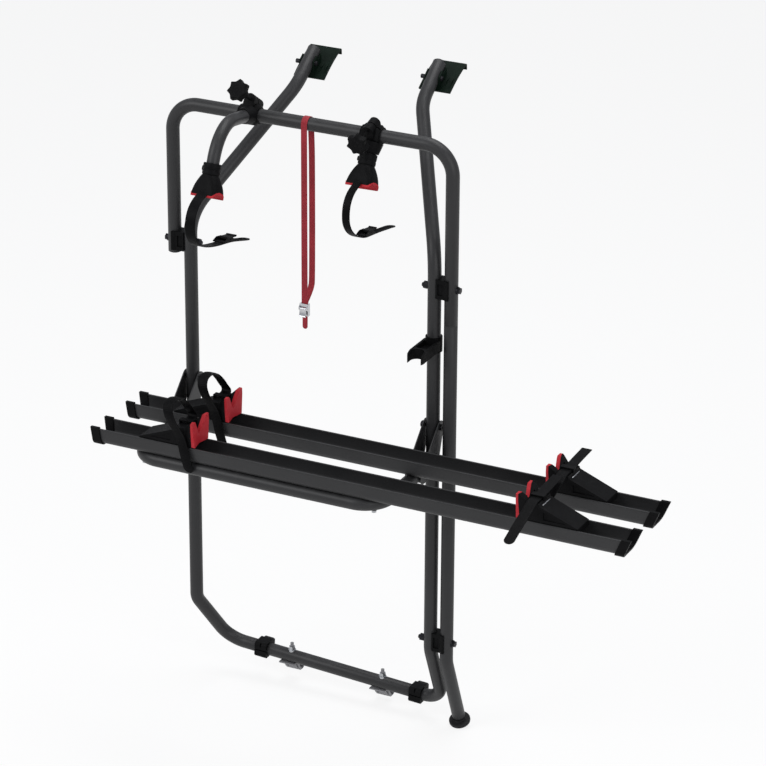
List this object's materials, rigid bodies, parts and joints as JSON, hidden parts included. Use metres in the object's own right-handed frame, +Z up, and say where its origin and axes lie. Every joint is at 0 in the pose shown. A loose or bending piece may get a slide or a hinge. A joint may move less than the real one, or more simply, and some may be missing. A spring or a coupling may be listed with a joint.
{
  "type": "van rear door bike rack",
  "caption": "Black tube bike rack for van rear doors with a folding platform, wheel rails, padded bike arms and a red security strap",
  "frame": {"origin": "midway between the two top hooks, at the seat under their plates where the top edge of the doors rests", "axes": "+X to the right as seen from behind the van, +Y towards the van (forward), +Z up"},
  "size_m": [1.2857, 0.7729, 1.5035],
  "materials": {
    "powder_coat": "fine satin powder coat, near black",
    "rail_coat": "fine satin powder coat, near black",
    "black_plastic": "moulded, fine grain",
    "strap_black": "flexible ribbed strap, matt",
    "black_rubber": "soft matt rubber",
    "red_rubber": "soft matt rubber, red",
    "red_webbing": "flat woven webbing, red",
    "black_steel": "black passivated bolts",
    "zinc_steel": "zinc plated, dull",
    "grey_coat": "grey satin coat over pressed steel",
    "buckle_metal": "bright plated metal"
  },
  "bodies": {
    "frame": {"inner_left_tube": "powder_coat", "inner_right_tube": "powder_coat", "bottom_bar": "powder_coat", "outer_hoop": "powder_coat", "outer_right_leg": "powder_coat", "joint_spigots": "zinc_steel", "tube_plugs": "black_plastic", "couplings": "black_plastic", "coupling_bolts": "black_steel", "coupling_nuts": "black_steel", "pad_clamps": "black_plastic", "door_pads": "black_rubber", "hook_nuts": "zinc_steel", "top_hooks": "black_plastic", "hook_bolts": "black_steel", "snap_clip": "black_plastic", "pivot_bolts": "black_steel", "security_strap": "red_webbing", "cam_buckle": "buckle_metal"},
    "platform": {"platform_tube": "powder_coat", "pivot_ears": "powder_coat", "rail_back": "rail_coat", "rail_front": "rail_coat", "rail_caps": "black_plastic", "rail_bolts": "zinc_steel"},
    "wheel_holder_back_left": {"holder_back_left": "black_plastic", "liner_back_left": "red_rubber", "strap_back_left": "strap_black"},
    "wheel_holder_front_left": {"holder_front_left": "black_plastic", "liner_front_left": "red_rubber", "strap_front_left": "strap_black"},
    "wheel_holder_back_right": {"holder_back_right": "black_plastic", "liner_back_right": "red_rubber", "strap_back_right": "strap_black"},
    "wheel_holder_front_right": {"holder_front_right": "black_plastic", "liner_front_right": "red_rubber", "strap_front_right": "strap_black"},
    "slider_a": {"bush_a": "black_plastic"},
    "arm_a": {"clamp_a": "black_plastic", "arm_tube_a": "powder_coat"},
    "clamp_knob_a": {"knob_a": "black_plastic"},
    "bike_jaw_a": {"jaw_a": "black_plastic", "jaw_liner_a": "red_rubber", "arm_strap_a": "strap_black", "buckle_a": "black_plastic"},
    "buckle_lever_a": {"lever_a": "black_plastic"},
    "slider_b": {"bush_b": "black_plastic"},
    "arm_b": {"clamp_b": "black_plastic"},
    "clamp_knob_b": {"knob_b": "black_plastic"},
    "bike_jaw_b": {"jaw_b": "black_plastic", "jaw_liner_b": "red_rubber", "arm_strap_b": "strap_black", "buckle_b": "black_plastic"},
    "buckle_lever_b": {"lever_b": "black_plastic"},
    "door_hook_left": {"low_hook_left": "grey_coat"},
    "door_hook_right": {"low_hook_right": "grey_coat"},
    "strap_cam": {"cam_lever": "buckle_metal"},
    "foot": {"foot_stud": "zinc_steel", "foot_pad": "black_rubber"}
  },
  "joints": [
    {"name": "platform_fold", "type": "hinge", "parent": "frame", "child": "platform", "pos_m": [0, -0.344, -0.69074], "axis": [-1, 0, 0], "range_deg": [0, 90]},
    {"name": "slide_back_left", "type": "slide", "parent": "platform", "child": "wheel_holder_back_left", "axis": [1, 0, 0], "range_m": [0, 0.1]},
    {"name": "slide_front_left", "type": "slide", "parent": "platform", "child": "wheel_holder_front_left", "axis": [1, 0, 0], "range_m": [0, 0.1]},
    {"name": "slide_back_right", "type": "slide", "parent": "platform", "child": "wheel_holder_back_right", "axis": [1, 0, 0], "range_m": [-0.2, 0.06]},
    {"name": "slide_front_right", "type": "slide", "parent": "platform", "child": "wheel_holder_front_right", "axis": [1, 0, 0], "range_m": [-0.2, 0.06]},
    {"name": "slide_arm_a", "type": "slide", "parent": "frame", "child": "slider_a", "axis": [1, 0, 0], "range_m": [-0.06, 0.06]},
    {"name": "slide_arm_b", "type": "slide", "parent": "frame", "child": "slider_b", "axis": [1, 0, 0], "range_m": [-0.1, 0.05]},
    {"name": "swing_arm_a", "type": "hinge", "parent": "slider_a", "child": "arm_a", "pos_m": [-0.1455, -0.344, -0.04274], "axis": [-1, 0, 0], "range_deg": [-15, 35]},
    {"name": "swing_arm_b", "type": "hinge", "parent": "slider_b", "child": "arm_b", "pos_m": [0.15, -0.344, -0.04274], "axis": [-1, 0, 0], "range_deg": [-10, 50]},
    {"name": "turn_knob_a", "type": "hinge", "parent": "arm_a", "child": "clamp_knob_a", "pos_m": [-0.1455, -0.38997, 0.02144], "axis": [0, -0.829, 0.5592], "continuous": true},
    {"name": "turn_knob_b", "type": "hinge", "parent": "arm_b", "child": "clamp_knob_b", "pos_m": [0.15, -0.40741, -0.03928], "axis": [0, -0.9613, -0.2756], "continuous": true},
    {"name": "turn_jaw_a", "type": "hinge", "parent": "arm_a", "child": "bike_jaw_a", "pos_m": [-0.1226, -0.584, -0.15274], "axis": [0, 0.3907, 0.9205], "range_deg": [-25, 25]},
    {"name": "turn_jaw_b", "type": "hinge", "parent": "arm_b", "child": "bike_jaw_b", "pos_m": [0.152, -0.402, -0.14374], "axis": [0, 0.4695, 0.8829], "range_deg": [-25, 25]},
    {"name": "open_buckle_a", "type": "hinge", "parent": "bike_jaw_a", "child": "buckle_lever_a", "pos_m": [-0.1226, -0.50756, -0.27044], "axis": [1, 0, 0], "range_deg": [0, 70]},
    {"name": "open_buckle_b", "type": "hinge", "parent": "bike_jaw_b", "child": "buckle_lever_b", "pos_m": [0.152, -0.37677, -0.25155], "axis": [1, 0, 0], "range_deg": [0, 70]},
    {"name": "open_strap_cam", "type": "hinge", "parent": "frame", "child": "strap_cam", "pos_m": [-0.007, -0.36705, -0.46324], "axis": [-1, 0, 0], "range_deg": [0, 100]},
    {"name": "lift_door_hook_left", "type": "slide", "parent": "frame", "child": "door_hook_left", "axis": [0, 0, -1], "range_m": [0, 0.008]},
    {"name": "lift_door_hook_right", "type": "slide", "parent": "frame", "child": "door_hook_right", "axis": [0, 0, -1], "range_m": [0, 0.008]},
    {"name": "turn_foot", "type": "hinge", "parent": "frame", "child": "foot", "pos_m": [0.344, -0.284, -1.42574], "axis": [0.0272, 0.3435, -0.9388], "continuous": true}
  ]
}
